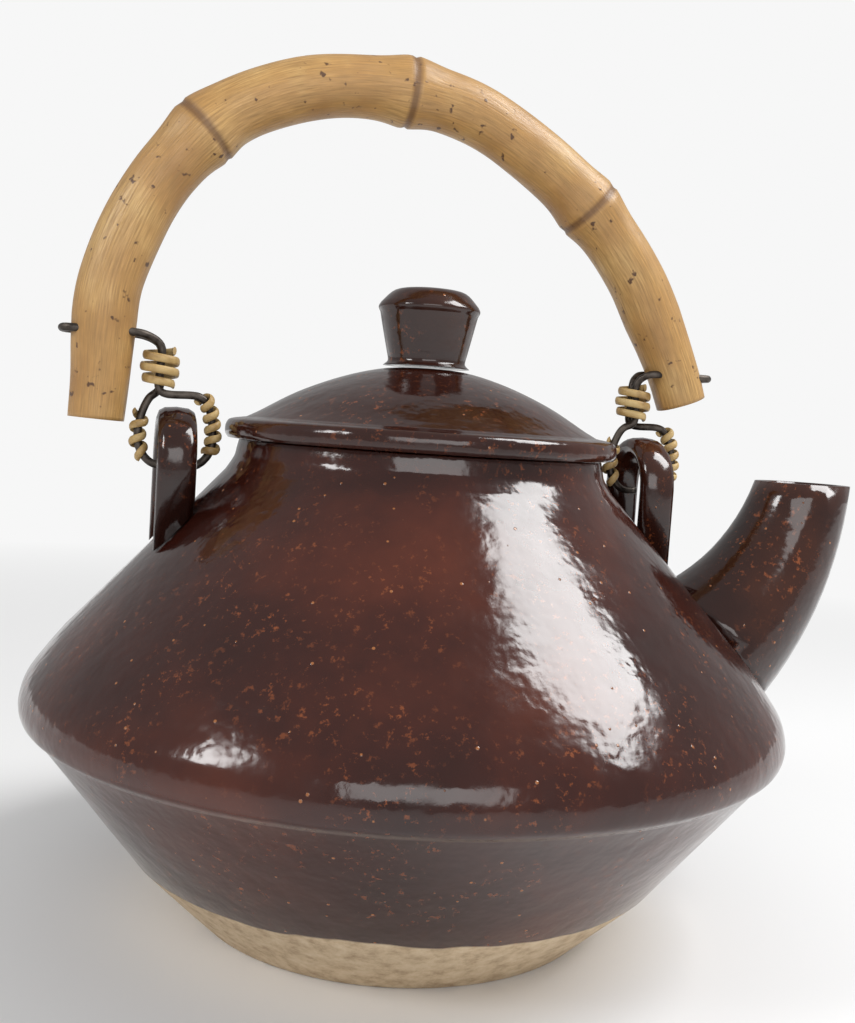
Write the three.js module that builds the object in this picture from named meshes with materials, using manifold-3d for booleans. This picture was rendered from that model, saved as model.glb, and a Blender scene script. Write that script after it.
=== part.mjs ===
// A wheel-thrown teapot with a bamboo-root bail handle, in millimetres, +Z up.
// The pot's axis is Z, its flat unglazed base stands at z = 0, the spout points to +X,
// and the bail stands in the XZ plane, hung from two luted ears on the shoulder.
import * as THREE from "three";
import { mergeVertices } from "three/addons/utils/BufferGeometryUtils.js";
import Module from "manifold-3d";

const wasm = await Module();
wasm.setup();

// Fits
const FIT = 0.3; // luted or resting faces stay this far apart
const AROUND = 64; // facets round the pot

// Pot body
const FOOT_R = 47.5;
const GLAZE_R = 63.5; // the glaze stops on this ring
const GLAZE_Z = 16.2;
const BELLY_R = 89;
const BELLY_Z = 50;
const BELLY_EDGE = 5; // height of the rounding above and below the belly
const SHOULDER_R = 80.5;
const SHOULDER_Z = 65;
const NECK_R = 43.4;
const NECK_Z = 106.4; // foot of the short collar
const RIM_Z = 110.4;
const WALL = 4.5;
const FLOOR = 6;

// Lid and knob
const FLANGE_OVERHANG = 2.8;
const FLANGE_H = 4.6;
const DOME_R = 40.5;
const DOME_H = 14.4; // above the flange
const LID_WALL = 4.2;
const SKIRT_H = 9;
const SKIRT_CLEAR = 1;
const SKIRT_WALL = 3.5;
const STEAM_HOLE_R = 1.9;
const STEAM_HOLE_AT = 27.5; // from the axis
const STEAM_HOLE_TURN = -2.69; // radians from +X
const KNOB_BASE_R = 9.2;
const KNOB_R = 12.1;
const KNOB_TOP_R = 8.4;
const KNOB_H = 18.6;

// Spout
const SPOUT_STEPS = 14;
const SPOUT_SIDES = 24;
const SPOUT_ROOT = { x: 72, z: 60, r: 21.5 };
const SPOUT_WAIST = { x: 93, z: 80, r: 14.2 };
const SPOUT_MOUTH = { x: 104, z: 107.6, r: 11.2 };
const SPOUT_WALL = 3;
const STRAINER_HOLE_R = 2.2;
const STRAINER_RING_R = 7.5;
const STRAINER_HOLES = 6;
const STRAINER_Z = 72;

// Ears
const EAR_X = 57.5; // distance of the ear's middle from the pot axis
const EAR_TOP_Z = 116.8;
const EAR_HALF_SPAN = 10.2; // middle of the strap from the ear's centre plane
const EAR_WIDTH = 8.6; // along X
const EAR_THICK = 4.6;

// Bail: bamboo root
const BAIL_PATH = [
  [-75, 113], [-74.6, 122], [-74.2, 132], [-73, 144], [-69, 156], [-62, 169], [-50, 182],
  [-34, 190], [-14, 193], [6, 190.6], [24, 182], [40, 170], [52, 156], [59.5, 143],
  [65, 131.5], [67.2, 126],
];
const BAIL_R = 7.1;
const BAIL_END_R = 6.2;
const BAIL_SIDES = 14;
const BAIL_STEPS = 56;
const NODE_SWELL = 1.1;
const NODE_LENGTH = 5;
const NODES_AT = [0.31, 0.53, 0.76]; // share of the bail's length
const WIRE_HOLE_Z = 132.5;
const WIRE_HOLE_HALF = 3.4; // hole centres from the XZ plane
const WIRE_HOLE_CLEAR = 0.45;

// Wire links and cane
const WIRE_R = 1;
const WIRE_SIDES = 8;
const THROAT_IN = { left: 12.6, right: 10.4 }; // from the bail's middle line in to the throat
const THROAT_HALF = 1.35;
const THROAT_Z = [120, 130.2];
const ARM_REACH = 8.0; // wire arms from the ear's middle
const CANE_W = 1.75;
const CANE_T = 0.8;
const CANE_GAP = 0.3;
const CANE_PITCH = 2.55;
const CANE_STEPS = 12;
const KNOT_TURNS = 3;
const KNOT_LIFT = 1.6; // above the foot of the throat
const KNOT_SWELL = 1.0;

// Colours, roughness
const GLAZE = { color: 0x3a1009, roughness: 0.14, metalness: 0 };
const CLAY = { color: 0x55200f, roughness: 0.2, metalness: 0 };
const BAMBOO = { color: 0xb98a45, roughness: 0.42, metalness: 0 };
const CANE = { color: 0xa9813f, roughness: 0.5, metalness: 0 };
const STEEL = { color: 0x2c2622, roughness: 0.45, metalness: 0.9 };

// Three.js geometry to a closed solid
function solid(geometry) {
  const bare = geometry.index ? geometry : geometry.clone();
  for (const name of ["normal", "uv"]) bare.deleteAttribute(name);
  const merged = mergeVertices(bare, 1e-4);
  return new wasm.Manifold(
    new wasm.Mesh({
      numProp: 3,
      vertProperties: new Float32Array(merged.attributes.position.array),
      triVerts: new Uint32Array(merged.index.array),
    }),
  );
}

// A solid back to a mesh of its own
function mesh(name, made, look) {
  const out = made.getMesh();
  const geometry = new THREE.BufferGeometry();
  geometry.setAttribute("position", new THREE.BufferAttribute(new Float32Array(out.vertProperties), 3));
  geometry.setIndex(new THREE.BufferAttribute(new Uint32Array(out.triVerts), 1));
  geometry.computeVertexNormals();
  const object = new THREE.Mesh(geometry, new THREE.MeshStandardMaterial(look));
  object.name = name;
  return object;
}

// A profile of [radius, z] turned round the Z axis; it runs upwards on the outside
function turned(profile, sides = AROUND) {
  const points = profile.map(([r, z]) => new THREE.Vector2(r, z));
  return solid(new THREE.LatheGeometry(points, sides).rotateX(Math.PI / 2));
}

// A closed surface through rings of points, with flat ends
function loft(rings) {
  const sides = rings[0].length;
  const positions = rings.flat().flatMap((p) => [p.x, p.y, p.z]);
  const index = [];
  for (let i = 0; i + 1 < rings.length; i++)
    for (let j = 0; j < sides; j++) {
      const a = i * sides + j;
      const b = i * sides + ((j + 1) % sides);
      index.push(a, b, b + sides, a, b + sides, a + sides);
    }
  const last = (rings.length - 1) * sides;
  for (let j = 1; j + 1 < sides; j++) {
    index.push(0, j + 1, j);
    index.push(last, last + j, last + j + 1);
  }
  return new wasm.Manifold(
    new wasm.Mesh({
      numProp: 3,
      vertProperties: new Float32Array(positions),
      triVerts: new Uint32Array(index),
    }),
  );
}

// Frames that turn as little as possible along a list of points
function frames(points) {
  const tangents = points.map((_, i) => {
    const before = points[Math.max(i - 1, 0)];
    const after = points[Math.min(i + 1, points.length - 1)];
    return after.clone().sub(before).normalize();
  });
  let normal = new THREE.Vector3(0, 1, 0).cross(tangents[0]);
  if (normal.length() < 0.2) normal = new THREE.Vector3(1, 0, 0).cross(tangents[0]);
  normal.normalize();
  return points.map((at, i) => {
    const tangent = tangents[i];
    normal = normal.clone().addScaledVector(tangent, -normal.dot(tangent)).normalize();
    return { at, tangent, normal, side: tangent.clone().cross(normal) };
  });
}

// A round tube along points; radius is a number or a function of the share of the way
function tube(points, radius, sides) {
  const all = frames(points);
  return loft(
    all.map(({ at, normal, side }, i) => {
      const r = typeof radius === "function" ? radius(i / (all.length - 1)) : radius;
      return Array.from({ length: sides }, (_, j) => {
        const a = (2 * Math.PI * j) / sides;
        return at.clone().addScaledVector(normal, r * Math.cos(a)).addScaledVector(side, r * Math.sin(a));
      });
    }),
  );
}

// A straight round bar between two points
function bar(from, to, radius, sides = 16) {
  return tube([from, to], radius, sides);
}

// Outer profile of the pot, moved out by a distance
function potOutside(out = 0) {
  return [
    [FOOT_R + out, -out],
    [GLAZE_R + out, GLAZE_Z - out],
    [BELLY_R - 2.2 + out, BELLY_Z - BELLY_EDGE],
    [BELLY_R - 0.4 + out, BELLY_Z - BELLY_EDGE * 0.4],
    [BELLY_R + out, BELLY_Z + 1],
    [BELLY_R - 1.2 + out, BELLY_Z + BELLY_EDGE],
    [SHOULDER_R + 3.6 + out, SHOULDER_Z - 4.6 + out * 0.6],
    [SHOULDER_R + out, SHOULDER_Z + out * 0.6],
    [NECK_R + 2.4 + out, NECK_Z - 3.2 + out * 0.6],
    [NECK_R + 0.4 + out, NECK_Z],
    [NECK_R + out, RIM_Z],
  ];
}

function potBody() {
  const outside = potOutside();
  const bore = NECK_R - WALL;
  const inside = [
    [bore, RIM_Z],
    [bore, NECK_Z - 2],
    [SHOULDER_R - WALL - 0.6, SHOULDER_Z - 3.2],
    [BELLY_R - WALL - 1.2, BELLY_Z + BELLY_EDGE * 0.6],
    [BELLY_R - WALL - 0.6, BELLY_Z],
    [BELLY_R - WALL - 3, BELLY_Z - BELLY_EDGE],
    [GLAZE_R - WALL, GLAZE_Z + 2],
    [FOOT_R - WALL + 1, FLOOR + 1.5],
    [FOOT_R - WALL - 6, FLOOR],
    [0, FLOOR],
  ];
  let body = turned([[0, 0], ...outside, ...inside]);
  for (const at of strainerHoles()) {
    const far = at.clone().add(new THREE.Vector3(30, 0, 24));
    body = body.subtract(bar(at.clone().add(new THREE.Vector3(-12, 0, -9.6)), far, STRAINER_HOLE_R, 10));
  }
  return body;
}

// One hole in the middle and a ring of holes about it, on the shoulder behind the spout
function strainerHoles() {
  const middleX = SHOULDER_R - ((STRAINER_Z - SHOULDER_Z) * (SHOULDER_R - NECK_R)) / (NECK_Z - SHOULDER_Z);
  const middle = new THREE.Vector3(middleX - WALL / 2, 0, STRAINER_Z - WALL / 2);
  const holes = [middle];
  for (let i = 0; i < STRAINER_HOLES; i++) {
    const a = (2 * Math.PI * (i + 0.5)) / STRAINER_HOLES;
    const up = STRAINER_RING_R * Math.sin(a) * 0.7;
    holes.push(new THREE.Vector3(middle.x - up, STRAINER_RING_R * Math.cos(a), middle.z + up));
  }
  return holes;
}

// The spout swells to its root, cut off level at the top
function spoutCore(inset, reach) {
  const curve = new THREE.QuadraticBezierCurve3(
    new THREE.Vector3(SPOUT_ROOT.x, 0, SPOUT_ROOT.z),
    new THREE.Vector3(SPOUT_WAIST.x + 6, 0, SPOUT_WAIST.z - 2),
    new THREE.Vector3(SPOUT_MOUTH.x, 0, SPOUT_MOUTH.z),
  );
  const rings = [];
  for (let i = 0; i <= SPOUT_STEPS; i++) {
    const t = i / SPOUT_STEPS;
    const at = curve.getPoint(t);
    const lean = (1 - t) * 0.78;
    const across = new THREE.Vector3(Math.cos(lean), 0, -Math.sin(lean));
    const grown = SPOUT_ROOT.r * (1 - t) ** 2 + 2 * SPOUT_WAIST.r * t * (1 - t) + SPOUT_MOUTH.r * t ** 2;
    const r = grown - inset;
    rings.push(
      Array.from({ length: SPOUT_SIDES }, (_, j) => {
        const a = (2 * Math.PI * j) / SPOUT_SIDES;
        return at
          .clone()
          .addScaledVector(across, r * Math.cos(a) * (1 + 0.1 * t))
          .add(new THREE.Vector3(0, r * Math.sin(a), 0));
      }),
    );
  }
  const top = rings.at(-1).map((p) => p.clone().add(new THREE.Vector3(0, 0, reach)));
  const foot = rings[0].map((p) => p.clone().add(new THREE.Vector3(-reach, 0, -reach)));
  if (reach) {
    rings.push(top);
    rings.unshift(foot);
  }
  return loft(rings);
}

function spout(potClear) {
  return spoutCore(0, 0).subtract(spoutCore(SPOUT_WALL, 8)).subtract(potClear);
}

// Middle line of an ear: up one leg, over a half ring and down the other leg
function earLine(sign) {
  const centreZ = EAR_TOP_Z - EAR_THICK / 2 - EAR_HALF_SPAN;
  const legEnd = NECK_Z - (EAR_X + EAR_WIDTH - NECK_R) * 1.2 - 4;
  const line = [new THREE.Vector3(sign * EAR_X, -EAR_HALF_SPAN, legEnd)];
  for (let i = 0; i <= 12; i++) {
    const a = Math.PI - (Math.PI * i) / 12;
    const y = EAR_HALF_SPAN * Math.cos(a);
    line.push(new THREE.Vector3(sign * EAR_X, y, centreZ + EAR_HALF_SPAN * Math.sin(a)));
  }
  line.push(new THREE.Vector3(sign * EAR_X, EAR_HALF_SPAN, legEnd));
  return line;
}

function ear(sign, potClear) {
  const line = earLine(sign);
  const rings = line.map((at, i) => {
    const before = line[Math.max(i - 1, 0)];
    const after = line[Math.min(i + 1, line.length - 1)];
    const along = after.clone().sub(before).normalize();
    const out = new THREE.Vector3(1, 0, 0).cross(along);
    return Array.from({ length: 12 }, (_, j) => {
      const a = (-2 * Math.PI * j) / 12;
      const cx = Math.sign(Math.cos(a)) * Math.abs(Math.cos(a)) ** 0.7 * (EAR_WIDTH / 2);
      const cz = Math.sign(Math.sin(a)) * Math.abs(Math.sin(a)) ** 0.8 * (EAR_THICK / 2);
      return at.clone().add(new THREE.Vector3(cx, 0, 0)).addScaledVector(out, cz);
    });
  });
  const whole = loft(rings);
  return whole.subtract(potClear);
}

function lid() {
  const under = RIM_Z + FIT;
  const flangeR = NECK_R + FLANGE_OVERHANG;
  const top = under + FLANGE_H;
  const skirtR = NECK_R - WALL - SKIRT_CLEAR;
  const outside = [
    [skirtR - SKIRT_WALL, under - SKIRT_H],
    [skirtR - 0.6, under - SKIRT_H],
    [skirtR, under - SKIRT_H + 0.8],
    [skirtR, under],
    [flangeR - 0.6, under],
    [flangeR, under + 0.9],
    [flangeR, top - 1.8],
    [flangeR - 0.7, top - 0.5],
    [flangeR - 2.2, top],
    [DOME_R, top + 0.4],
  ];
  for (let i = 1; i <= 8; i++) {
    const a = (Math.PI / 2) * (i / 8);
    outside.push([DOME_R * Math.cos(a), top + 0.4 + (DOME_H - 0.4) * Math.sin(a) ** 1.12]);
  }
  outside[outside.length - 1][0] = 0;
  const inside = [];
  for (let i = 0; i <= 7; i++) {
    const a = (Math.PI / 2) * (1 - i / 7);
    const r = (skirtR - SKIRT_WALL) * Math.cos(a);
    inside.push([i === 0 ? 0 : r, under + 1 + (DOME_H + FLANGE_H - LID_WALL - 1) * Math.sin(a)]);
  }
  const made = turned([...inside, ...outside]);
  const hole = new THREE.Vector3(
    STEAM_HOLE_AT * Math.cos(STEAM_HOLE_TURN),
    STEAM_HOLE_AT * Math.sin(STEAM_HOLE_TURN),
    under - 4,
  );
  const out = hole.clone().add(new THREE.Vector3(0, 0, DOME_H + FLANGE_H + 10));
  return made.subtract(bar(hole, out, STEAM_HOLE_R, 12));
}

function lidKnob() {
  const z = RIM_Z + FIT + FLANGE_H + DOME_H + FIT;
  return turned([
    [0, z],
    [KNOB_BASE_R + 1.2, z],
    [KNOB_BASE_R, z + 1],
    [KNOB_BASE_R + 0.5, z + 3],
    [KNOB_R - 0.5, z + KNOB_H - 6.2],
    [KNOB_R, z + KNOB_H - 5],
    [KNOB_R - 0.5, z + KNOB_H - 4],
    [KNOB_TOP_R, z + KNOB_H - 1],
    [KNOB_TOP_R * 0.5, z + KNOB_H - 0.2],
    [0, z + KNOB_H],
  ], 40);
}

const bailCurve = new THREE.CatmullRomCurve3(
  BAIL_PATH.map(([x, z]) => new THREE.Vector3(x, 0, z)),
);

// The bail's middle line is at this X where it passes a height
function bailX(side, z) {
  const half = side < 0 ? [0, 0.3] : [1, 0.7];
  let [low, high] = half;
  for (let i = 0; i < 40; i++) {
    const mid = (low + high) / 2;
    if (bailCurve.getPointAt(mid).z < z) low = mid;
    else high = mid;
  }
  return bailCurve.getPointAt(low).x;
}

function bailHandle() {
  const length = bailCurve.getLength();
  const radius = (t) => {
    const fromEnd = Math.min(t, 1 - t);
    let r = BAIL_END_R + (BAIL_R - BAIL_END_R) * Math.min(1, fromEnd / 0.1);
    for (const at of NODES_AT) {
      const away = ((t - at) * length) / NODE_LENGTH;
      r += NODE_SWELL * Math.exp(-away * away);
    }
    return r;
  };
  let made = tube(bailCurve.getSpacedPoints(BAIL_STEPS), radius, BAIL_SIDES);
  for (const side of [-1, 1])
    for (const y of [-WIRE_HOLE_HALF, WIRE_HOLE_HALF]) {
      const x = bailX(side, WIRE_HOLE_Z);
      const from = new THREE.Vector3(x - 2 * BAIL_R, y, WIRE_HOLE_Z);
      const to = new THREE.Vector3(x + 2 * BAIL_R, y, WIRE_HOLE_Z);
      made = made.subtract(bar(from, to, WIRE_R + WIRE_HOLE_CLEAR, 10));
    }
  return made;
}

// Key places of one wire link, in the XZ plane, with in pointing to the pot axis
function linkPlaces(side) {
  const middle = bailX(side, WIRE_HOLE_Z);
  const throat = middle - side * (side < 0 ? THROAT_IN.left : THROAT_IN.right);
  const outer = middle + side * (BAIL_R + WIRE_R + 0.5);
  const inFace = middle - side * (BAIL_R + 0.4);
  const passZ = EAR_TOP_Z - EAR_THICK / 2 - EAR_HALF_SPAN;
  return { throat, outer, inFace, passZ, ear: side * EAR_X };
}

// The two arms from the throat down round the ear's bar
function armLines(side) {
  const { throat, passZ, ear: earX } = linkPlaces(side);
  const over = EAR_TOP_Z + WIRE_R + CANE_T + 1.1;
  const arm = (reach, y) => [
    new THREE.Vector3(throat, y, THROAT_Z[0]),
    new THREE.Vector3(earX + side * reach * 0.72, y * 0.6, Math.min(over, THROAT_Z[0] - 1)),
    new THREE.Vector3(earX + side * reach, 0, EAR_TOP_Z - 3.2),
    new THREE.Vector3(earX + side * reach, 0, passZ + 3),
    new THREE.Vector3(earX + side * reach * 0.62, 0, passZ - 0.6),
  ];
  return { outer: arm(ARM_REACH, THROAT_HALF), inner: arm(-ARM_REACH, -THROAT_HALF) };
}

function linkLine(side) {
  const { throat, outer, inFace, passZ, ear: earX } = linkPlaces(side);
  const arms = armLines(side);
  const up = (y, far) => [
    new THREE.Vector3(throat, y, (THROAT_Z[0] + THROAT_Z[1]) / 2),
    new THREE.Vector3(throat, y, THROAT_Z[1]),
    new THREE.Vector3((throat + inFace) / 2, (y + far) / 2, WIRE_HOLE_Z - 0.6),
    new THREE.Vector3(inFace, far, WIRE_HOLE_Z),
    new THREE.Vector3((inFace + outer) / 2, far, WIRE_HOLE_Z),
    new THREE.Vector3(outer - side * 1.2, far, WIRE_HOLE_Z),
  ];
  const there = [...arms.outer].reverse();
  const back = arms.inner;
  const tip = 0.75;
  return [
    new THREE.Vector3(earX + side * tip * 1.3, 0, passZ - 0.9),
    ...there,
    ...up(THROAT_HALF, WIRE_HOLE_HALF),
    new THREE.Vector3(outer, WIRE_HOLE_HALF * 0.6, WIRE_HOLE_Z),
    new THREE.Vector3(outer, -WIRE_HOLE_HALF * 0.6, WIRE_HOLE_Z),
    ...up(-THROAT_HALF, -WIRE_HOLE_HALF).reverse(),
    ...back,
    new THREE.Vector3(earX - side * tip * 1.3, 0, passZ - 0.9),
  ];
}

function wireLink(side) {
  const curve = new THREE.CatmullRomCurve3(linkLine(side), false, "centripetal");
  return tube(curve.getSpacedPoints(84), WIRE_R, WIRE_SIDES);
}

// One unbroken flat strip wound about a line; swell makes the turns bulge in the middle
function winding(name, line, coreR, turns, swell = 0) {
  const curve = new THREE.CatmullRomCurve3(line, false, "centripetal");
  const steps = Math.round(turns * CANE_STEPS);
  const along = frames(Array.from({ length: steps + 1 }, (_, i) => curve.getPointAt(i / steps)));
  const centre = along.map(({ at, normal, side }, i) => {
    const t = i / steps;
    const a = 2 * Math.PI * turns * t;
    const r = coreR + CANE_GAP + CANE_T / 2 + swell * Math.sin(Math.PI * t);
    const out = normal.clone().multiplyScalar(Math.cos(a)).addScaledVector(side, Math.sin(a));
    return { at: at.clone().addScaledVector(out, r), out };
  });
  const rings = centre.map(({ at, out }, i) => {
    const before = centre[Math.max(i - 1, 0)].at;
    const after = centre[Math.min(i + 1, steps)].at;
    const tangent = after.clone().sub(before).normalize();
    const wide = tangent.clone().cross(out).normalize();
    const high = wide.clone().cross(tangent).normalize();
    return Array.from({ length: 6 }, (_, j) => {
      const a = (-2 * Math.PI * j) / 6;
      return at
        .clone()
        .addScaledVector(high, (CANE_T / 2) * Math.sin(a) * 1.15)
        .addScaledVector(wide, (CANE_W / 2) * Math.cos(a));
    });
  });
  console.log(name, "least gap between turns", leastGap(rings).toFixed(2), "mm");
  return loft(rings);
}

// Least distance between ring points that lie more than half a turn apart
function leastGap(rings) {
  let least = Infinity;
  for (let i = 0; i < rings.length; i++)
    for (let k = i + Math.ceil(CANE_STEPS * 0.6); k < rings.length; k++)
      for (const p of rings[i]) for (const q of rings[k]) least = Math.min(least, p.distanceTo(q));
  return least;
}

// Cane on the four arms and round the two throats
function cane() {
  const made = [];
  for (const [side, word] of [[-1, "left"], [1, "right"]]) {
    const arms = armLines(side);
    for (const [which, line] of Object.entries(arms)) {
      const name = `cane_${which}_arm_${word}`;
      const wrapped = new THREE.CatmullRomCurve3(line, false, "centripetal");
      const points = wrapped.getSpacedPoints(20).slice(7, 18);
      const length = new THREE.CatmullRomCurve3(points).getLength();
      made.push(mesh(name, winding(name, points, WIRE_R, Math.floor(length / CANE_PITCH)), CANE));
    }
    const { throat } = linkPlaces(side);
    const low = THROAT_Z[0] + KNOT_LIFT;
    const high = low + KNOT_TURNS * (CANE_PITCH + 0.02);
    const axis = [new THREE.Vector3(throat, 0, low), new THREE.Vector3(throat, 0, high)];
    const name = `cane_knot_${word}`;
    const made_knot = winding(name, axis, THROAT_HALF + WIRE_R, KNOT_TURNS, KNOT_SWELL);
    made.push(mesh(name, made_knot, CANE));
  }
  return made;
}

const potClear = turned([
  [0, -FIT],
  ...potOutside(FIT),
  [0, RIM_Z],
]);

const teapot = new THREE.Group();
teapot.add(
  mesh("pot_body", potBody(), GLAZE),
  mesh("spout", spout(potClear), GLAZE),
  mesh("ear_left", ear(-1, potClear), GLAZE),
  mesh("ear_right", ear(1, potClear), GLAZE),
  mesh("lid", lid(), CLAY),
  mesh("lid_knob", lidKnob(), CLAY),
  mesh("bamboo_handle", bailHandle(), BAMBOO),
  mesh("wire_link_left", wireLink(-1), STEEL),
  mesh("wire_link_right", wireLink(1), STEEL),
  ...cane(),
);

export default teapot;
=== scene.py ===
# %% [markdown]
# A glazed pottery teapot with a bamboo-root bail handle.
# The frame holds every piece at its real size. This lesson gives each piece its smooth
# surface and its finish, and leaves sizes and places as the frame has them.

# %% Load the frame
import math

import bmesh
import bpy
from mathutils import Matrix, Vector, noise


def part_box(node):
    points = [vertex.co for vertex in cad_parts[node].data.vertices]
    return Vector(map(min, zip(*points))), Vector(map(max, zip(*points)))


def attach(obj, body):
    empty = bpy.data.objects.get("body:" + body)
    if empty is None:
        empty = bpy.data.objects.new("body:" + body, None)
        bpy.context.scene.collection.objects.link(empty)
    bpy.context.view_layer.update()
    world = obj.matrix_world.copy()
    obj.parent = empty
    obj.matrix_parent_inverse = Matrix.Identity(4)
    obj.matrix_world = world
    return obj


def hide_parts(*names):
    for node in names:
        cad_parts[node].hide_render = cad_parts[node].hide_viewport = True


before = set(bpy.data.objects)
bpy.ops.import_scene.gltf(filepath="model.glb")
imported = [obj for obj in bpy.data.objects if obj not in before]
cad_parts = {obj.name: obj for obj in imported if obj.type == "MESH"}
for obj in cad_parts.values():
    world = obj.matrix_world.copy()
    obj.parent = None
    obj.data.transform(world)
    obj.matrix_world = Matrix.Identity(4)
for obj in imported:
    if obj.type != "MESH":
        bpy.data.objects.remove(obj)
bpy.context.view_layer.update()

MM = 0.001

# %% [markdown]
# Node materials repeat the same few moves: add a node, link two sockets, put colours on a
# ramp. Each material could be wired by hand in the editor. Small helpers are used here,
# because they keep each finish readable as a recipe.

# %% Helpers for nodes
# The inputs and the output of a Mix node that belong to each kind of data.
MIX_SOCKETS = {"FLOAT": (2, 3, 0), "RGBA": (6, 7, 2)}


def new_material(name):
    """A material, its node tree and its Principled shader."""
    made = bpy.data.materials.new(name)
    made.use_nodes = True
    return made, made.node_tree, made.node_tree.nodes["Principled BSDF"]


def add(tree, kind, **values):
    """A new node, with inputs or settings given by name."""
    node = tree.nodes.new(kind)
    for key, value in values.items():
        if key in node.inputs:
            node.inputs[key].default_value = value
        else:
            setattr(node, key, value)
    return node


def feed(tree, value, socket):
    """Links an output to a socket, or sets the socket's own value."""
    if isinstance(value, bpy.types.NodeSocket):
        tree.links.new(value, socket)
    else:
        socket.default_value = value


def reckon(tree, operation, *values):
    """The output of one Math node over outputs and numbers."""
    node = add(tree, "ShaderNodeMath", operation=operation)
    for value, socket in zip(values, node.inputs):
        feed(tree, value, socket)
    return node.outputs["Value"]


def noise_of(tree, coords, scale, detail=4.0, roughness=0.55):
    """Soft noise, with about scale lumps in a metre."""
    node = add(tree, "ShaderNodeTexNoise", Scale=scale, Detail=detail, Roughness=roughness)
    tree.links.new(coords, node.inputs["Vector"])
    return node.outputs["Fac"]


def ramp(tree, fac, stops):
    """Colours at places on a 0 to 1 scale."""
    node = add(tree, "ShaderNodeValToRGB")
    elements = node.color_ramp.elements
    while len(elements) < len(stops):
        elements.new(0.5)
    for element, (place, colour) in zip(elements, stops):
        element.position = place
        element.color = (*colour, 1.0)
    tree.links.new(fac, node.inputs["Fac"])
    return node.outputs["Color"]


def mix(tree, fac, first, second, kind="RGBA"):
    """Goes from first to second as fac goes from 0 to 1."""
    node = add(tree, "ShaderNodeMix", data_type=kind)
    start, end, result = MIX_SOCKETS[kind]
    for value, socket in ((fac, 0), (first, start), (second, end)):
        feed(tree, value, node.inputs[socket])
    return node.outputs[result]


def stretch(tree, fac, low, high, out_low=0.0, out_high=1.0):
    """Takes the range low to high to the range out_low to out_high, and clamps it."""
    node = add(tree, "ShaderNodeMapRange")
    tree.links.new(fac, node.inputs["Value"])
    ends = {"From Min": low, "From Max": high, "To Min": out_low, "To Max": out_high}
    for name, value in ends.items():
        node.inputs[name].default_value = value
    return node.outputs["Result"]


def bump(tree, shader, layers):
    """Heights stacked into one normal; each layer is a height, a strength and a depth."""
    normal = None
    for height, strength, depth in layers:
        node = add(tree, "ShaderNodeBump", Strength=strength, Distance=depth)
        tree.links.new(height, node.inputs["Height"])
        if normal:
            tree.links.new(normal, node.inputs["Normal"])
        normal = node.outputs["Normal"]
    tree.links.new(normal, shader.inputs["Normal"])


# %% [markdown]
# The glaze is a thick iron brown: nearly black where it pools, red-brown over the body, and
# freckled with rust where iron rises through it. Pinholes and an orange-peel ripple break
# its reflections. On the pot it stops above the foot and leaves bare buff clay. Paint on a
# UV map could show this too, but noise in the piece's own space has no seam on a round pot.

# %% Iron glaze
IRON_POOL = (0.011, 0.0032, 0.0024)
IRON_BODY, BODY_RED_LOSS = (0.034, 0.0072, 0.0044), 0.016
IRON_THIN, THIN_RED_LOSS = (0.088, 0.019, 0.0085), 0.045
RUST = (0.22, 0.060, 0.019, 1)
PINHOLE_RUST = (0.30, 0.11, 0.036, 1)
GLASS_IOR = 1.55
# How many of each there are in a metre.
CLOUDS, RUST_PATCHES, SHEEN_PATCHES, RIPPLES = 22, 60, 130, 170
PINHOLES, FRECKLES, GRAIN = 210, 620, 900
RIPPLE_DEEP, PINHOLE_DEEP, GRAIN_DEEP = 0.9 * MM, 0.4 * MM, 0.15 * MM


def thicker(colour, depth, red_loss):
    """The same glaze laid thicker, which takes red out of it."""
    red, green, blue = colour
    return (red - depth * red_loss, green, blue)


def iron_colour(tree, coords, pinholes, depth):
    base = ramp(tree, noise_of(tree, coords, CLOUDS, 5), [
        (0.25, IRON_POOL),
        (0.50, thicker(IRON_BODY, depth, BODY_RED_LOSS)),
        (0.76, thicker(IRON_THIN, depth, THIN_RED_LOSS)),
    ])
    freckles = stretch(tree, noise_of(tree, coords, FRECKLES, 3, 0.7), 0.58, 0.68)
    patches = stretch(tree, noise_of(tree, coords, RUST_PATCHES, 3), 0.42, 0.68)
    rusty = mix(tree, reckon(tree, "MULTIPLY", freckles, patches), base, RUST)
    return mix(tree, pinholes, rusty, PINHOLE_RUST)


def glaze(name, depth=0.0, finish=None):
    """Glaze at a thickness; finish may change its colour and roughness before they go in."""
    made, tree, shader = new_material(name)
    coords = add(tree, "ShaderNodeTexCoord").outputs["Object"]
    cells = add(tree, "ShaderNodeTexVoronoi", Scale=PINHOLES)
    tree.links.new(coords, cells.inputs["Vector"])
    pinholes = stretch(tree, cells.outputs["Distance"], 0.05, 0.08, 1.0, 0.0)
    colour = iron_colour(tree, coords, pinholes, depth)
    rough = stretch(tree, noise_of(tree, coords, SHEEN_PATCHES, 4), 0.3, 0.75, 0.07, 0.2)
    if finish:
        colour, rough = finish(tree, coords, colour, rough)
    tree.links.new(colour, shader.inputs["Base Color"])
    tree.links.new(rough, shader.inputs["Roughness"])
    shader.inputs["IOR"].default_value = GLASS_IOR
    bump(tree, shader, [
        (noise_of(tree, coords, RIPPLES, 2), 0.25, RIPPLE_DEEP),
        (pinholes, 0.25, PINHOLE_DEEP),
        (noise_of(tree, coords, GRAIN, 2), 0.12, GRAIN_DEEP),
    ])
    return made


# %% Bare clay at the foot
CLAY_TOP = 16.2 * MM
CLAY_WOBBLE = 1.6 * MM
EDGE_BELOW, EDGE_ABOVE = 0.3 * MM, 0.2 * MM
EDGE_WAVES, CLAY_LUMPS = 34, 260
CLAY_ROUGH = 0.85
CLAY_COLOURS = [
    (0.30, (0.34, 0.235, 0.14)),
    (0.52, (0.56, 0.43, 0.28)),
    (0.75, (0.68, 0.55, 0.39)),
]


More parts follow.
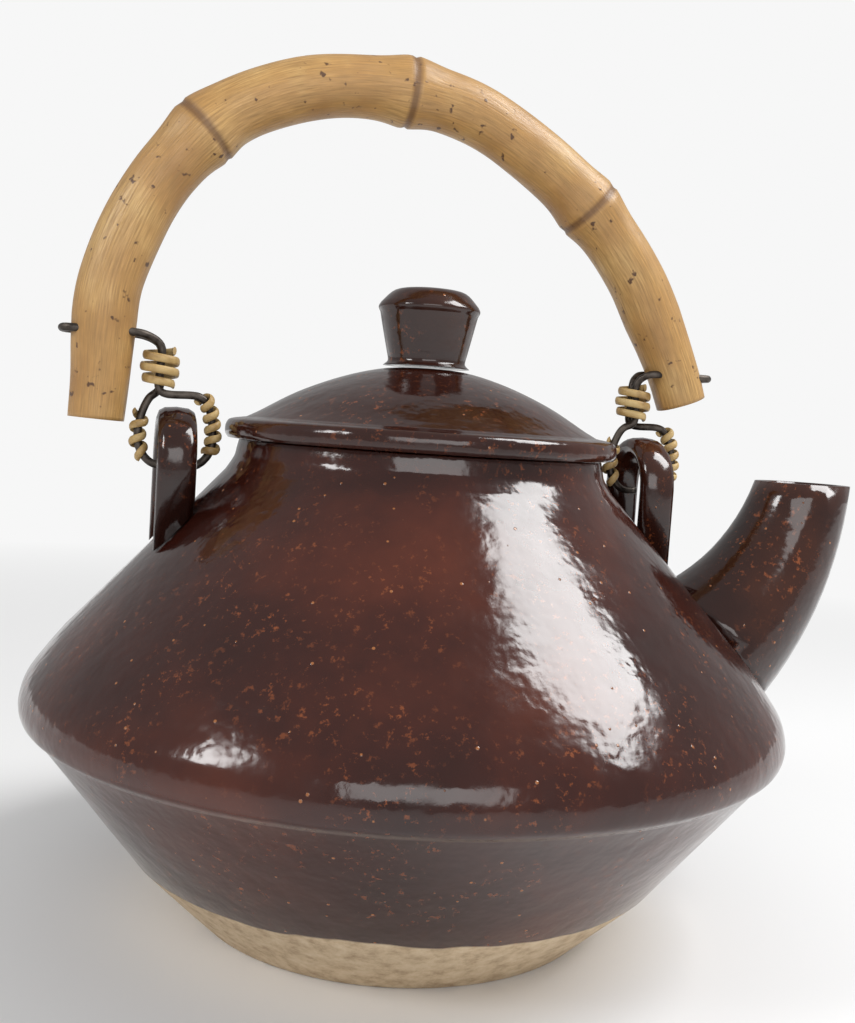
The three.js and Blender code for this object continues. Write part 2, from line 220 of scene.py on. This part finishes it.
def bare_foot(tree, coords, colour, rough):
    """Below a wandering line the glaze gives way to dull clay."""
    place = add(tree, "ShaderNodeSeparateXYZ")
    tree.links.new(coords, place.inputs[0])
    wander = stretch(
        tree, noise_of(tree, coords, EDGE_WAVES, 3), 0.2, 0.8, -CLAY_WOBBLE, CLAY_WOBBLE)
    level = reckon(tree, "ADD", place.outputs["Z"], wander)
    bare = stretch(tree, level, CLAY_TOP - EDGE_BELOW, CLAY_TOP + EDGE_ABOVE, 1.0, 0.0)
    clay = ramp(tree, noise_of(tree, coords, CLAY_LUMPS, 6, 0.7), CLAY_COLOURS)
    return mix(tree, bare, colour, clay), mix(tree, bare, rough, CLAY_ROUGH, "FLOAT")


pot_glaze = glaze("iron_glaze_pot", finish=bare_foot)
lid_glaze = glaze("iron_glaze_lid", depth=0.3)
knob_glaze = glaze("iron_glaze_knob", depth=0.6)
ear_glaze = glaze("iron_glaze_ears", depth=0.5)
print("glazes", pot_glaze.name, lid_glaze.name, knob_glaze.name, ear_glaze.name)

# %% [markdown]
# Bamboo root is a golden skin with fine lengthwise fibres, brown freckles and darker rings
# at its nodes. Fibres have to bend with the bail, so they can't come from straight noise.
# They follow the piece through a UV map instead: U goes round it and V along it.

# %% Bamboo skin
NODE_PLACES = (0.31, 0.53, 0.76)
RING_HALF, RING_FADE, RING_STRENGTH = 0.002, 0.006, 0.75
RING_BROWN = (0.13, 0.06, 0.025, 1)
BAMBOO_DARK, BAMBOO_GOLD, BAMBOO_PALE = (0.33, 0.16, 0.05), (0.50, 0.28, 0.095), (0.64, 0.42, 0.17)
FIBRE_SHADE = 0.62
SPECK_BROWN = (0.10, 0.045, 0.018, 1)
FIBRES_ROUND, FIBRES_ALONG = 22, 6
BAMBOO_CLOUDS, BAMBOO_SPECKS = 55, 420


def bamboo_finish():
    made, tree, shader = new_material("bamboo_root_skin")
    uv = add(tree, "ShaderNodeUVMap", uv_map="along").outputs["UV"]
    lie = add(tree, "ShaderNodeMapping", Scale=(FIBRES_ROUND, FIBRES_ALONG, 1))
    tree.links.new(uv, lie.inputs["Vector"])
    fibres = noise_of(tree, lie.outputs["Vector"], 5, 5, 0.6)
    coords = add(tree, "ShaderNodeTexCoord").outputs["Object"]
    clouds = noise_of(tree, coords, BAMBOO_CLOUDS, 4)
    base = ramp(tree, clouds, [(0.28, BAMBOO_DARK), (0.5, BAMBOO_GOLD), (0.74, BAMBOO_PALE)])
    shaded = (*[c * FIBRE_SHADE for c in BAMBOO_GOLD], 1)
    streaks = mix(tree, stretch(tree, fibres, 0.35, 0.7), base, shaded)
    specks = stretch(tree, noise_of(tree, coords, BAMBOO_SPECKS, 2), 0.66, 0.72)
    colour = mix(tree, specks, streaks, SPECK_BROWN)
    along = add(tree, "ShaderNodeSeparateXYZ")
    tree.links.new(uv, along.inputs[0])
    for place in NODE_PLACES:
        off = reckon(tree, "SUBTRACT", along.outputs["Y"], place)
        away = reckon(tree, "ABSOLUTE", off)
        ring = stretch(tree, away, RING_HALF, RING_FADE, RING_STRENGTH, 0.0)
        colour = mix(tree, ring, colour, RING_BROWN)
    tree.links.new(colour, shader.inputs["Base Color"])
    tree.links.new(stretch(tree, fibres, 0.3, 0.75, 0.28, 0.5), shader.inputs["Roughness"])
    bump(tree, shader, [
        (fibres, 0.35, 0.4 * MM), (clouds, 0.2, 0.6 * MM), (specks, 0.2, 0.2 * MM)])
    return made


bamboo_skin = bamboo_finish()
print("bamboo", bamboo_skin.name, "rings at", NODE_PLACES)

# %% [markdown]
# Split cane is the shiny outer skin of a palm stem, straw to tan, and the links are dull
# dark wire. Both are a few millimetres thick, so a fine noise does for either: a pattern
# that followed each turn would be smaller than anyone sees.

# %% Cane and wire
CANE_COLOURS = [(0.30, (0.26, 0.15, 0.05)), (0.50, (0.47, 0.31, 0.12)), (0.72, (0.62, 0.46, 0.21))]
CANE_CLOUDS, CANE_GRAIN = 240, 1500
WIRE_COLOURS = [(0.35, (0.035, 0.028, 0.024)), (0.65, (0.13, 0.11, 0.095))]
WIRE_TARNISH = 380
WIRE_METALLIC = 0.9
SKIN_DEEP = 0.1 * MM


def cane_finish():
    made, tree, shader = new_material("split_cane")
    coords = add(tree, "ShaderNodeTexCoord").outputs["Object"]
    clouds = noise_of(tree, coords, CANE_CLOUDS, 4)
    tree.links.new(ramp(tree, clouds, CANE_COLOURS), shader.inputs["Base Color"])
    tree.links.new(stretch(tree, clouds, 0.3, 0.7, 0.34, 0.58), shader.inputs["Roughness"])
    bump(tree, shader, [(noise_of(tree, coords, CANE_GRAIN, 2), 0.4, SKIN_DEEP)])
    return made


def wire_finish():
    made, tree, shader = new_material("dark_wire")
    coords = add(tree, "ShaderNodeTexCoord").outputs["Object"]
    tarnish = noise_of(tree, coords, WIRE_TARNISH, 5)
    tree.links.new(ramp(tree, tarnish, WIRE_COLOURS), shader.inputs["Base Color"])
    tree.links.new(stretch(tree, tarnish, 0.3, 0.7, 0.32, 0.6), shader.inputs["Roughness"])
    shader.inputs["Metallic"].default_value = WIRE_METALLIC
    bump(tree, shader, [(tarnish, 0.3, SKIN_DEEP)])
    return made


split_cane = cane_finish()
dark_wire = wire_finish()
print("cane and wire", split_cane.name, dark_wire.name)

# %% [markdown]
# The pot, lid and knob are thrown on a wheel, so each is a profile turned round the pot's
# axis. The Screw modifier would turn one too, but a loop lets every ring wander a little,
# as clay does between the hands.

# %% Helpers for turned pieces
AROUND = 192
WOBBLE = 0.12 * MM
WOBBLE_ROUND, WOBBLE_UP = 1.3, 0.09
PROFILE_STEPS = 5
ON_AXIS = 1e-6
SHORTEST = 1e-6
MERGE_TURNED = 1e-6
CORNER = "corner"


def to_object(name, bm, material, body, node):
    """A finished mesh as a piece that rides on its body and stands for its CAD node."""
    bmesh.ops.remove_doubles(bm, verts=bm.verts, dist=MERGE_TURNED)
    mesh = bpy.data.meshes.new(name)
    bm.to_mesh(mesh)
    bm.free()
    mesh.materials.append(material)
    piece = bpy.data.objects.new(name, mesh)
    bpy.context.scene.collection.objects.link(piece)
    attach(piece, body)
    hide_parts(node)
    print(name, len(mesh.polygons), "faces")
    return piece


def smoothed(profile, steps):
    """A spline through points in mm, in straight steps; points marked CORNER stay sharp."""
    points = [Vector(point[:2]) for point in profile]
    last = len(points) - 1
    ends = {0, last} | {i for i, point in enumerate(profile) if CORNER in point}
    out = []
    for i in range(last):
        p1, p2 = points[i], points[i + 1]
        p0 = p1 if i in ends else points[i - 1]
        p3 = p2 if i + 1 in ends else points[i + 2]
        span = (p2 - p1).length
        m1 = (p2 - p0) * 0.5 * min(1.0, span / max((p1 - p0).length, SHORTEST))
        m2 = (p3 - p1) * 0.5 * min(1.0, span / max((p3 - p2).length, SHORTEST))
        for k in range(steps):
            t = k / steps
            a, b = 2 * t**3 - 3 * t**2 + 1, t**3 - 2 * t**2 + t
            c, d = -2 * t**3 + 3 * t**2, t**3 - t**2
            out.append(p1 * a + m1 * b + p2 * c + m2 * d)
    out.append(points[-1])
    return out


def turn(profile):
    """A bmesh turned from (radius, height) points in mm; ends on the axis close in a fan."""
    bm = bmesh.new()
    rings = []
    for r, z in smoothed(profile, PROFILE_STEPS):
        if r < ON_AXIS:
            rings.append([bm.verts.new((0, 0, z * MM))])
            continue
        ring = []
        for i in range(AROUND):
            a = 2 * math.pi * i / AROUND
            at = Vector((math.cos(a) * WOBBLE_ROUND, math.sin(a) * WOBBLE_ROUND, z * WOBBLE_UP))
            out = r * MM + noise.noise(at) * WOBBLE
            ring.append(bm.verts.new((out * math.cos(a), out * math.sin(a), z * MM)))
        rings.append(ring)
    for low, high in zip(rings, rings[1:]):
        for i in range(AROUND):
            k = (i + 1) % AROUND
            if len(low) == 1:
                bm.faces.new((low[0], high[k], high[i]))
            elif len(high) == 1:
                bm.faces.new((low[i], low[k], high[0]))
            else:
                bm.faces.new((low[i], low[k], high[k], high[i]))
    for face in bm.faces:
        face.smooth = True
    return bm


# %% [markdown]
# The pot has a small foot, straight flaring sides, a rounded edge at the belly and a
# straight shoulder up to a short neck. One closed profile goes up the outside and down the
# inside, so the wall is real and the lid can be lifted off it. The frame's pot also has
# strainer holes behind the spout, where nobody looks; this skin leaves them out.

# %% Pot body
RIM_Z, FLOOR_Z = 110.4, 6
POT_OUTSIDE = [
    (0, 0), (46.6, 0, CORNER), (47.5, 0.5),
    (63.3, 16.0, CORNER), (85.9, 45.2), (88.2, 47.2), (88.9, 50.4), (87.7, 55), (84.0, 60.4),
    (80.4, 65, CORNER), (45.7, 103.2, CORNER), (43.8, 106.4), (43.3, 108.6),
    (42.9, RIM_Z, CORNER),
]
POT_INSIDE = [
    (39.2, RIM_Z, CORNER), (38.9, 109.8), (38.9, 104.4, CORNER),
    (75.4, 61.8, CORNER), (83.3, 53), (83.9, 50), (81.5, 45), (59, 18.2),
    (44, 7.5, CORNER), (37.5, FLOOR_Z, CORNER), (0, FLOOR_Z),
]
to_object(
    "teapot_body", turn(POT_OUTSIDE + POT_INSIDE), pot_glaze, "pot", "pot_body")

# %% [markdown]
# The lid is a low dome with a flat flange that lies on the rim and a skirt that keeps it
# centred in the neck. It is turned like the pot, from the inside out. The frame's lid has a
# steam hole, which this skin doesn't have yet.

# %% Lid
SEAT_Z, SKIRT_Z = 110.7, 101.7
LID_PROFILE = [
    (0, 125.2), (16, 123.4), (27, 118.6), (33.4, 111.7, CORNER),
    (34.4, SKIRT_Z, CORNER), (37.3, SKIRT_Z), (37.9, 102.5), (37.9, SEAT_Z, CORNER),
    (45.6, SEAT_Z, CORNER), (46.2, 111.6), (46.2, 113.5), (45.5, 114.8),
    (44.0, 115.3, CORNER), (41.4, 115.7, CORNER), (38.6, 117.2),
    (30.0, 122.2), (19.5, 126.6), (9.5, 129.2), (0, 129.7),
]
to_object("teapot_lid", turn(LID_PROFILE), lid_glaze, "lid", "lid")

# %% [markdown]
# The knob is a cone on its point, thrown by itself and luted to the lid. It is a turned
# piece of its own, so that its glaze can lie thicker than the lid's.

# %% Lid knob
KNOB_FOOT_Z = 130.0
KNOB_PROFILE = [
    (0, KNOB_FOOT_Z), (10.3, KNOB_FOOT_Z, CORNER), (9.2, 131.1), (9.6, 133.5),
    (11.6, 142.4, CORNER), (12.1, 143.6), (11.6, 144.7, CORNER),
    (8.6, 147.6), (4.2, 148.4), (0, 148.6),
]
to_object("lid_knob_skin", turn(KNOB_PROFILE), knob_glaze, "lid", "lid_knob")

# %% [markdown]
# The spout, the ears, the bent wires and the cane on the wires' arms wander in space, and
# the frame already has their true shape. Making them again could only move them, so each
# is a merged copy of the frame's mesh. Wire and cane are subdivided to lose their facets.

# %% Pieces smoothed from the frame
MERGE_COPIED = 2e-6
FLAT_DEG = 0.5
SHARP_DEG = 80
WIRE_LEVELS, CANE_LEVELS = 1, 2


def softened(node, name, material, body, levels=0, sharp_deg=50):
    """A merged, smooth-shaded copy of a CAD node; its sharp edges stay creased."""
    bm = bmesh.new()
    bm.from_mesh(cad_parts[node].data)
    bmesh.ops.remove_doubles(bm, verts=bm.verts, dist=MERGE_COPIED)
    bmesh.ops.dissolve_limit(
        bm, angle_limit=math.radians(FLAT_DEG), verts=bm.verts, edges=bm.edges)
    crease = bm.edges.layers.float.new("crease_edge")
    for edge in bm.edges:
        if edge.is_manifold and edge.calc_face_angle(0) > math.radians(sharp_deg):
            edge[crease] = 1.0
    for face in bm.faces:
        face.smooth = True
    piece = to_object(name, bm, material, body, node)
    if levels:
        rounder = piece.modifiers.new("rounder", "SUBSURF")
        rounder.levels = rounder.render_levels = levels


softened("spout", "spout_skin", ear_glaze, "pot")
for side in ("left", "right"):
    softened(f"ear_{side}", f"ear_skin_{side}", ear_glaze, "pot")
    softened(
        f"wire_link_{side}", f"wire_{side}", dark_wire, "bail", WIRE_LEVELS, SHARP_DEG)
    for part in ("cane_outer_arm", "cane_inner_arm"):
        softened(
            f"{part}_{side}", f"{part}_strip_{side}", split_cane, "bail",
            CANE_LEVELS, SHARP_DEG)

# %% [markdown]
# Each wire's throat is bound with one flat strip of cane, fuller in the middle. It could be
# modelled turn by turn. A Geometry Nodes tree winds it from its turns, height, core and
# swell instead, so both bindings come from one rule and change with their sizes.

# %% Tree that winds a strip
WINDING_SIZES = {
    "Turns": 3.0, "Height": 7.0 * MM, "Core": 3.05 * MM, "Swell": 1.0 * MM,
    "Strip width": 1.9 * MM, "Strip thickness": 0.85 * MM,
}
POINTS_A_TURN, STRIP_SIDES = 48, 10


def coil_path(tree, inputs):
    """A spiral round the core, pushed outwards by the swell, most in its middle."""
    link = tree.links.new
    spiral = add(tree, "GeometryNodeCurveSpiral", Resolution=POINTS_A_TURN)
    for socket, name in (("Rotations", "Turns"), ("Start Radius", "Core"),
                         ("End Radius", "Core"), ("Height", "Height")):
        link(inputs.outputs[name], spiral.inputs[socket])
    share = add(tree, "GeometryNodeSplineParameter")
    angle = reckon(tree, "MULTIPLY", share.outputs["Factor"], math.pi)
    bulge = reckon(tree, "MULTIPLY", reckon(tree, "SINE", angle), inputs.outputs["Swell"])
    flat = add(tree, "ShaderNodeVectorMath", operation="MULTIPLY")
    link(add(tree, "GeometryNodeInputPosition").outputs[0], flat.inputs[0])
    flat.inputs[1].default_value = (1, 1, 0)
    outwards = add(tree, "ShaderNodeVectorMath", operation="NORMALIZE")
    link(flat.outputs[0], outwards.inputs[0])
    move = add(tree, "ShaderNodeVectorMath", operation="SCALE")
    link(outwards.outputs[0], move.inputs[0])
    link(bulge, move.inputs["Scale"])
    placed = add(tree, "GeometryNodeSetPosition")
    link(spiral.outputs["Curve"], placed.inputs["Geometry"])
    link(move.outputs[0], placed.inputs["Offset"])
    upright = add(tree, "GeometryNodeSetCurveNormal", mode="Z_UP")
    link(placed.outputs[0], upright.inputs["Curve"])
    return upright.outputs[0]


def strip_section(tree, inputs):
    """The strip's cut end: an oval as wide and thick as the strip."""
    link = tree.links.new
    ring = add(tree, "GeometryNodeCurvePrimitiveCircle", Resolution=STRIP_SIDES, Radius=0.5)
    size = add(tree, "ShaderNodeCombineXYZ")
    link(inputs.outputs["Strip thickness"], size.inputs["X"])
    link(inputs.outputs["Strip width"], size.inputs["Y"])
    oval = add(tree, "GeometryNodeTransform")
    link(ring.outputs["Curve"], oval.inputs["Geometry"])
    link(size.outputs[0], oval.inputs["Scale"])
    return oval.outputs[0]


def winding_tree():
    tree = bpy.data.node_groups.new("wound_cane", "GeometryNodeTree")
    face = tree.interface
    face.new_socket(name="Geometry", in_out="INPUT", socket_type="NodeSocketGeometry")
    for name, value in WINDING_SIZES.items():
        socket = face.new_socket(name=name, in_out="INPUT", socket_type="NodeSocketFloat")
        socket.default_value = value
    face.new_socket(name="Strip", in_out="INPUT", socket_type="NodeSocketMaterial")
    face.new_socket(name="Geometry", in_out="OUTPUT", socket_type="NodeSocketGeometry")
    inputs, outputs = add(tree, "NodeGroupInput"), add(tree, "NodeGroupOutput")
    link = tree.links.new
    sweep = add(tree, "GeometryNodeCurveToMesh")
    sweep.inputs["Fill Caps"].default_value = True
    link(coil_path(tree, inputs), sweep.inputs["Curve"])
    link(strip_section(tree, inputs), sweep.inputs["Profile Curve"])
    real = add(tree, "GeometryNodeRealizeInstances")
    link(sweep.outputs[0], real.inputs[0])
    paint = add(tree, "GeometryNodeSetMaterial")
    link(real.outputs[0], paint.inputs["Geometry"])
    link(inputs.outputs["Strip"], paint.inputs["Material"])
    link(paint.outputs[0], outputs.inputs["Geometry"])
    return tree


WINDING = winding_tree()
INPUT_OF = {item.name: item.identifier for item in WINDING.interface.items_tree
            if item.item_type == "SOCKET" and item.in_out == "INPUT"}
print("winding tree", len(WINDING.nodes), "nodes, inputs", sorted(INPUT_OF))

# %% [markdown]
# The tree runs as a modifier on an empty start mesh. The export needs plain meshes, so its
# result becomes a mesh of its own, moved to its throat, and the modifier goes.

# %% Cane knots
KNOT_END = 0.9 * MM


def wound(name, sizes, place):
    """A plain mesh object wound by the tree, moved to its place in its own mesh."""
    start = bpy.data.objects.new(name + "_start", bpy.data.meshes.new(name + "_start"))
    bpy.context.scene.collection.objects.link(start)
    winder = start.modifiers.new("winder", "NODES")
    winder.node_group = WINDING
    for key, value in sizes.items():
        winder[INPUT_OF[key]] = value
    winder[INPUT_OF["Strip"]] = split_cane
    graph = bpy.context.evaluated_depsgraph_get()
    mesh = bpy.data.meshes.new_from_object(start.evaluated_get(graph), depsgraph=graph)
    bpy.data.objects.remove(start)
    mesh.transform(Matrix.Translation(place))
    for face in mesh.polygons:
        face.use_smooth = True
    piece = bpy.data.objects.new(name, mesh)
    bpy.context.scene.collection.objects.link(piece)
    print(name, len(mesh.polygons), "faces of", mesh.materials[0].name)
    return piece


for side in ("left", "right"):
    low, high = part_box(f"cane_knot_{side}")
    foot = Vector(((low[0] + high[0]) / 2, 0, low[2] + KNOT_END))
    tall = high[2] - low[2] - 2 * KNOT_END
    knot = wound(f"cane_knot_strip_{side}", {**WINDING_SIZES, "Height": tall}, foot)
    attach(knot, "bail")
    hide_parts(f"cane_knot_{side}")

# %% [markdown]
# The bail is a bent bamboo root. A bevelled curve would give it one thickness, so rings of
# points along its middle line make it: nodes swell it, a fine line marks each node, a
# groove runs between two nodes, and its skin is never quite even.

# %% Bail's line and thickness
BAIL_PATH = [
    (-75, 113), (-74.6, 122), (-74.2, 132), (-73, 144), (-69, 156), (-62, 169), (-50, 182),
    (-34, 190), (-14, 193), (6, 190.6), (24, 182), (40, 170), (52, 156), (59.5, 143),
    (65, 131.5), (67.2, 126),
]
PATH_STEPS = 40
BAIL_SIDES, BAIL_STEPS = 48, 260
BAIL_R, BAIL_END_R, END_TAPER = 7.0, 6.1, 0.1
NODE_SWELL, NODE_LENGTH = 1.1, 5.0
NODE_LINE_DEEP, NODE_LINE_WIDE = 0.5, 0.55
GROOVE_FROM, GROOVE_TO, GROOVE_FADE = 0.34, 0.52, 0.02
GROOVE_ANGLE, GROOVE_HALF, GROOVE_DEEP = 2.0, 0.22, 0.9
SKIN_UNEVEN, SKIN_WAVES = 0.35, 14
NO_LENGTH = 1e-9


def bail_points():
    """Points evenly spaced along a smooth curve through the path, and its length in mm."""
    dense = smoothed(BAIL_PATH, PATH_STEPS)
    lengths = [0.0]
    for a, b in zip(dense, dense[1:]):
        lengths.append(lengths[-1] + (b - a).length)
    points, k = [], 0
    for i in range(BAIL_STEPS + 1):
        goal = lengths[-1] * i / BAIL_STEPS
        while k < len(lengths) - 2 and lengths[k + 1] < goal:
            k += 1
        t = (goal - lengths[k]) / max(lengths[k + 1] - lengths[k], NO_LENGTH)
        points.append(dense[k].lerp(dense[k + 1], t))
    return points, lengths[-1]


def bail_radius(t, angle, length):
    """The root's radius at a share of its length and an angle round it."""
    r = BAIL_END_R + (BAIL_R - BAIL_END_R) * min(1.0, min(t, 1 - t) / END_TAPER)
    for place in NODE_PLACES:
        away = (t - place) * length / NODE_LENGTH
        r += NODE_SWELL * math.exp(-away * away)
        r -= NODE_LINE_DEEP * math.exp(-((away * NODE_LENGTH / NODE_LINE_WIDE) ** 2))
    if GROOVE_FROM < t < GROOVE_TO:
        fade = min((t - GROOVE_FROM), (GROOVE_TO - t)) / GROOVE_FADE
        across = math.exp(-(((angle - GROOVE_ANGLE) / GROOVE_HALF) ** 2))
        r -= GROOVE_DEEP * min(1.0, fade) * across
    r += SKIN_UNEVEN * noise.noise(Vector((math.cos(angle), math.sin(angle), t * SKIN_WAVES)))
    return r * MM


# %% Bamboo root bail
def bail_mesh():
    """Rings across the line, joined, with the UV map that the fibres follow."""
    points, length = bail_points()
    bm = bmesh.new()
    uv = bm.loops.layers.uv.new("along")
    rings = []
    for i, at in enumerate(points):
        ahead = points[min(i + 1, BAIL_STEPS)] - points[max(i - 1, 0)]
        ahead.normalize()
        out = Vector((-ahead.y, 0, ahead.x))
        middle = Vector((at.x * MM, 0, at.y * MM))
        ring = []
        for j in range(BAIL_SIDES):
            a = 2 * math.pi * j / BAIL_SIDES
            r = bail_radius(i / BAIL_STEPS, a, length)
            sideways = Vector((0, r * math.sin(a), 0))
            ring.append(bm.verts.new(middle + out * (r * math.cos(a)) + sideways))
        rings.append(ring)
    for i in range(BAIL_STEPS):
        for j in range(BAIL_SIDES):
            k = (j + 1) % BAIL_SIDES
            face = bm.faces.new((rings[i][j], rings[i][k], rings[i + 1][k], rings[i + 1][j]))
            face.smooth = True
            corners = ((j, i), (j + 1, i), (j + 1, i + 1), (j, i + 1))
            for loop, (u, v) in zip(face.loops, corners):
                loop[uv].uv = (u / BAIL_SIDES, v / BAIL_STEPS)
    bm.faces.new(list(reversed(rings[0])))
    bm.faces.new(rings[-1])
    bmesh.ops.recalc_face_normals(bm, faces=bm.faces)
    return bm


to_object("bamboo_root_bail", bail_mesh(), bamboo_skin, "bail", "bamboo_handle")

# %% [markdown]
# The set is a pale table that fades into a white surround. A plain white box would glare in
# the glaze, so the table keeps its own colour near the pot, where it takes the shadow, and
# turns to a plain glow further out.

# %% Floor
FLOOR_R, FLOOR_SEGMENTS = 4.0, 96
FLOOR_GREY, FLOOR_ROUGH = (0.86, 0.86, 0.86, 1), 0.7
SURROUND_WHITE = (0.93, 0.93, 0.93, 1)
FADE_FROM, FADE_TO = 0.16, 0.75


def floor_finish():
    made, tree, shader = new_material("pale_floor")
    coords = add(tree, "ShaderNodeTexCoord").outputs["Object"]
    shader.inputs["Base Color"].default_value = FLOOR_GREY
    shader.inputs["Roughness"].default_value = FLOOR_ROUGH
    far = add(tree, "ShaderNodeVectorMath", operation="LENGTH")
    tree.links.new(coords, far.inputs[0])
    glow = add(tree, "ShaderNodeEmission", Color=SURROUND_WHITE)
    blend = add(tree, "ShaderNodeMixShader")
    tree.links.new(stretch(tree, far.outputs["Value"], FADE_FROM, FADE_TO), blend.inputs[0])
    tree.links.new(shader.outputs[0], blend.inputs[1])
    tree.links.new(glow.outputs[0], blend.inputs[2])
    output = next(node for node in tree.nodes if node.type == "OUTPUT_MATERIAL")
    tree.links.new(blend.outputs[0], output.inputs["Surface"])
    return made


def floor():
    bm = bmesh.new()
    bmesh.ops.create_circle(bm, cap_ends=True, segments=FLOOR_SEGMENTS, radius=FLOOR_R)
    mesh = bpy.data.meshes.new("floor")
    bm.to_mesh(mesh)
    bm.free()
    mesh.materials.append(floor_finish())
    plane = bpy.data.objects.new("floor", mesh)
    bpy.context.scene.collection.objects.link(plane)
    print("floor", FLOOR_R, "m in radius")


floor()

# %% [markdown]
# The photograph was lit by a tall window at the right, which leaves one broad streak on the
# shoulder, a smaller one at the left and the open room in front. Rectangular area lamps
# give reflections with such edges, which points and suns don't.

# %% Surround and lamps
ROOM_GLOW, WHITE_TO_CAMERA = 0.45, 1.0
LAMPS_LOOK_AT = (0, 0, 0.07)
# Name, place and size in metres, and power in watts.
LAMPS = (
    ("window_high", (0.50, -0.16, 0.74), (0.34, 0.46), 6),
    ("window_left", (-0.85, -0.3, 0.62), (0.2, 0.34), 3),
    ("room_front", (-0.15, -1.1, 0.5), (0.9, 0.5), 4),
)


def surround():
    world = bpy.data.worlds.new("surround")
    bpy.context.scene.world = world
    world.use_nodes = True
    tree = world.node_tree
    background = tree.nodes["Background"]
    background.inputs["Color"].default_value = SURROUND_WHITE
    seen = add(tree, "ShaderNodeLightPath").outputs["Is Camera Ray"]
    tree.links.new(
        stretch(tree, seen, 0, 1, ROOM_GLOW, WHITE_TO_CAMERA), background.inputs["Strength"])


def soft_light(name, at, size, power):
    lamp = bpy.data.lights.new(name, "AREA")
    lamp.shape = "RECTANGLE"
    lamp.size, lamp.size_y = size
    lamp.energy = power
    made = bpy.data.objects.new(name, lamp)
    made.location = at
    aim = Vector(LAMPS_LOOK_AT) - Vector(at)
    made.rotation_euler = aim.to_track_quat("-Z", "Y").to_euler()
    bpy.context.scene.collection.objects.link(made)


surround()
for lamp in LAMPS:
    soft_light(*lamp)
print("lamps", [lamp[0] for lamp in LAMPS])

# %% [markdown]
# The photograph was taken from close by, a little above the lid, and slightly tilted, so
# the near belly looks large. The camera could be placed by eye. Its place here comes from
# fitting the pot's outline, because closeness shapes the picture as much as the pot does.

# %% Camera
CAMERA_FAR = 287.4 * MM
CAMERA_HIGH = 116.9 * MM
TURN, YAW, PITCH, ROLL = math.radians(15), 0.0092, -0.0735, 0.0662
FOCAL_PX, PHOTO_WIDE, SENSOR = 1201, 855, 36
NEAREST_SEEN = 10 * MM


def camera():
    level = math.cos(PITCH)
    ahead = Vector((math.sin(YAW) * level, math.cos(YAW) * level, math.sin(PITCH)))
    across = ahead.cross(Vector((0, 0, 1))).normalized()
    up = across.cross(ahead)
    right = across * math.cos(ROLL) + up * math.sin(ROLL)
    top = up * math.cos(ROLL) - across * math.sin(ROLL)
    turned = Matrix.Rotation(-TURN, 3, "Z")
    place = turned @ Vector((0, -CAMERA_FAR, CAMERA_HIGH))
    rotation = Matrix([turned @ axis for axis in (right, top, -ahead)]).transposed()
    lens = bpy.data.cameras.new("camera")
    lens.sensor_fit = "HORIZONTAL"
    lens.sensor_width = SENSOR
    lens.lens = FOCAL_PX / PHOTO_WIDE * SENSOR
    lens.clip_start = NEAREST_SEEN
    made = bpy.data.objects.new("camera", lens)
    made.matrix_world = Matrix.Translation(place) @ rotation.to_4x4()
    bpy.context.scene.collection.objects.link(made)
    bpy.context.scene.camera = made
    print("camera at", [round(value, 4) for value in place], "lens", round(lens.lens, 2), "mm")


camera()
bpy.context.scene.view_settings.view_transform = "Standard"
